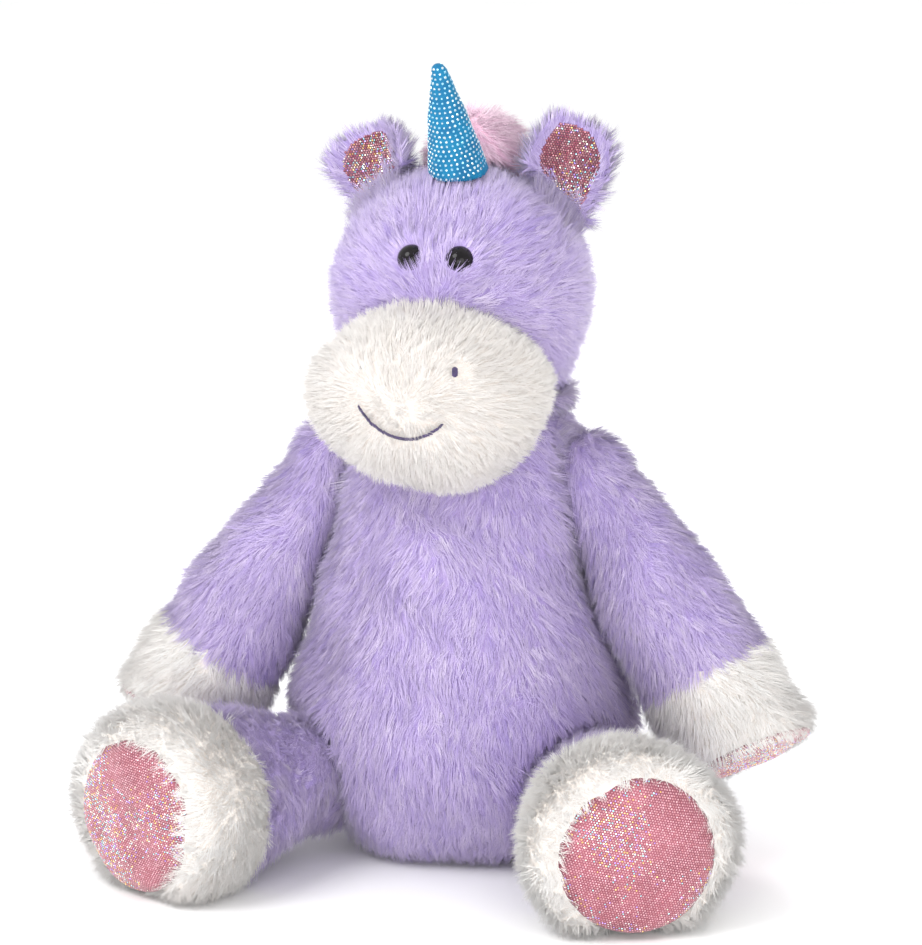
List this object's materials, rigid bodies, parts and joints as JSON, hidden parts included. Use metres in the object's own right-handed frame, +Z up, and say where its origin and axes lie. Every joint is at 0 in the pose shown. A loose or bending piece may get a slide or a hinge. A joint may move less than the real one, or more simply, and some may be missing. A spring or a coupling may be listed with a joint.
{
  "type": "seated plush unicorn",
  "caption": "Floppy seated unicorn soft toy in lilac plush with an ivory muzzle and cuffs, foil soles, a dotted blue horn and a pink mane; limbs, head, ears and tail turn at their seams.",
  "frame": {"origin": "centre of the outline on the surface the toy sits on", "axes": "+Z up to the horn's tip, the toy faces -Y, its own left side is +X"},
  "size_m": [0.2994, 0.2286, 0.3289],
  "materials": {
    "lilac_plush": "lilac long-pile plush",
    "ivory_plush": "ivory long-pile plush",
    "pink_foil": "rose pink mini-dot holographic foil cloth",
    "pink_plush": "pale pink plush",
    "blue_foil": "bright blue cloth with silver dots",
    "purple_thread": "dark purple sewing and embroidery thread",
    "black_eye": "glossy black",
    "washer_plastic": "white matte",
    "pellet_pouch": "plain woven cotton",
    "filling": "white polyester fibre"
  },
  "bodies": {
    "torso": {"torso_front_panel": "lilac_plush", "torso_back_left_panel": "lilac_plush", "torso_back_right_panel": "lilac_plush", "torso_stuffing": "filling", "seat_bean_bag": "pellet_pouch", "back_closing_seam": "purple_thread"},
    "neck": {"neck_seam": "purple_thread"},
    "head": {"head_face_panel": "lilac_plush", "head_back_left_panel": "lilac_plush", "head_back_right_panel": "lilac_plush", "head_stuffing": "filling", "muzzle_cover": "ivory_plush", "muzzle_stuffing": "filling", "nostril_left": "purple_thread", "nostril_right": "purple_thread", "smile": "purple_thread", "eye_left": "black_eye", "eye_right": "black_eye", "eye_washer_left": "washer_plastic", "eye_washer_right": "washer_plastic", "horn_cover": "blue_foil", "horn_stuffing": "filling", "mane": "pink_plush"},
    "ear_left": {"ear_back_left": "lilac_plush", "ear_lining_left": "pink_foil"},
    "ear_right": {"ear_back_right": "lilac_plush", "ear_lining_right": "pink_foil"},
    "arm_left": {"arm_sleeve_left": "lilac_plush", "arm_cuff_left": "ivory_plush", "palm_pad_left": "pink_foil", "arm_stuffing_left": "filling"},
    "arm_right": {"arm_sleeve_right": "lilac_plush", "arm_cuff_right": "ivory_plush", "palm_pad_right": "pink_foil", "arm_stuffing_right": "filling"},
    "leg_left": {"leg_sleeve_left": "lilac_plush", "foot_cover_left": "ivory_plush", "sole_pad_left": "pink_foil", "leg_stuffing_left": "filling"},
    "leg_right": {"leg_sleeve_right": "lilac_plush", "foot_cover_right": "ivory_plush", "sole_pad_right": "pink_foil", "leg_stuffing_right": "filling"},
    "tail": {"tail": "pink_plush"}
  },
  "joints": [
    {"name": "neck_turn", "type": "hinge", "parent": "torso", "child": "neck", "pos_m": [0, 0.005, 0.232], "axis": [0, 0, 1], "range_deg": [-30, 30]},
    {"name": "neck_nod", "type": "hinge", "parent": "neck", "child": "head", "pos_m": [0, 0.005, 0.232], "axis": [-1, 0, 0], "range_deg": [0, 22]},
    {"name": "shoulder_left", "type": "hinge", "parent": "torso", "child": "arm_left", "pos_m": [0.054, 0.002, 0.16], "axis": [-0.1146, -0.9934, 0], "range_deg": [0, 85]},
    {"name": "shoulder_right", "type": "hinge", "parent": "torso", "child": "arm_right", "pos_m": [-0.054, 0.002, 0.16], "axis": [-0.1146, 0.9934, 0], "range_deg": [0, 85]},
    {"name": "hip_left", "type": "hinge", "parent": "torso", "child": "leg_left", "pos_m": [0.058, -0.024, 0.034], "axis": [-0.9135, -0.4067, 0], "range_deg": [-12, 18]},
    {"name": "hip_right", "type": "hinge", "parent": "torso", "child": "leg_right", "pos_m": [-0.058, -0.024, 0.034], "axis": [-0.866, 0.5, 0], "range_deg": [-12, 18]},
    {"name": "ear_left_fold", "type": "hinge", "parent": "head", "child": "ear_left", "pos_m": [0.0395, 0.017, 0.2695], "axis": [0.6588, 0.1765, -0.7314], "range_deg": [-20, 20]},
    {"name": "ear_right_fold", "type": "hinge", "parent": "head", "child": "ear_right", "pos_m": [-0.0395, 0.017, 0.2695], "axis": [0.6588, -0.1765, 0.7314], "range_deg": [-20, 20]},
    {"name": "tail_wag", "type": "hinge", "parent": "torso", "child": "tail", "pos_m": [0, 0.074, 0.05], "axis": [0, 0, 1], "range_deg": [-30, 30]}
  ]
}
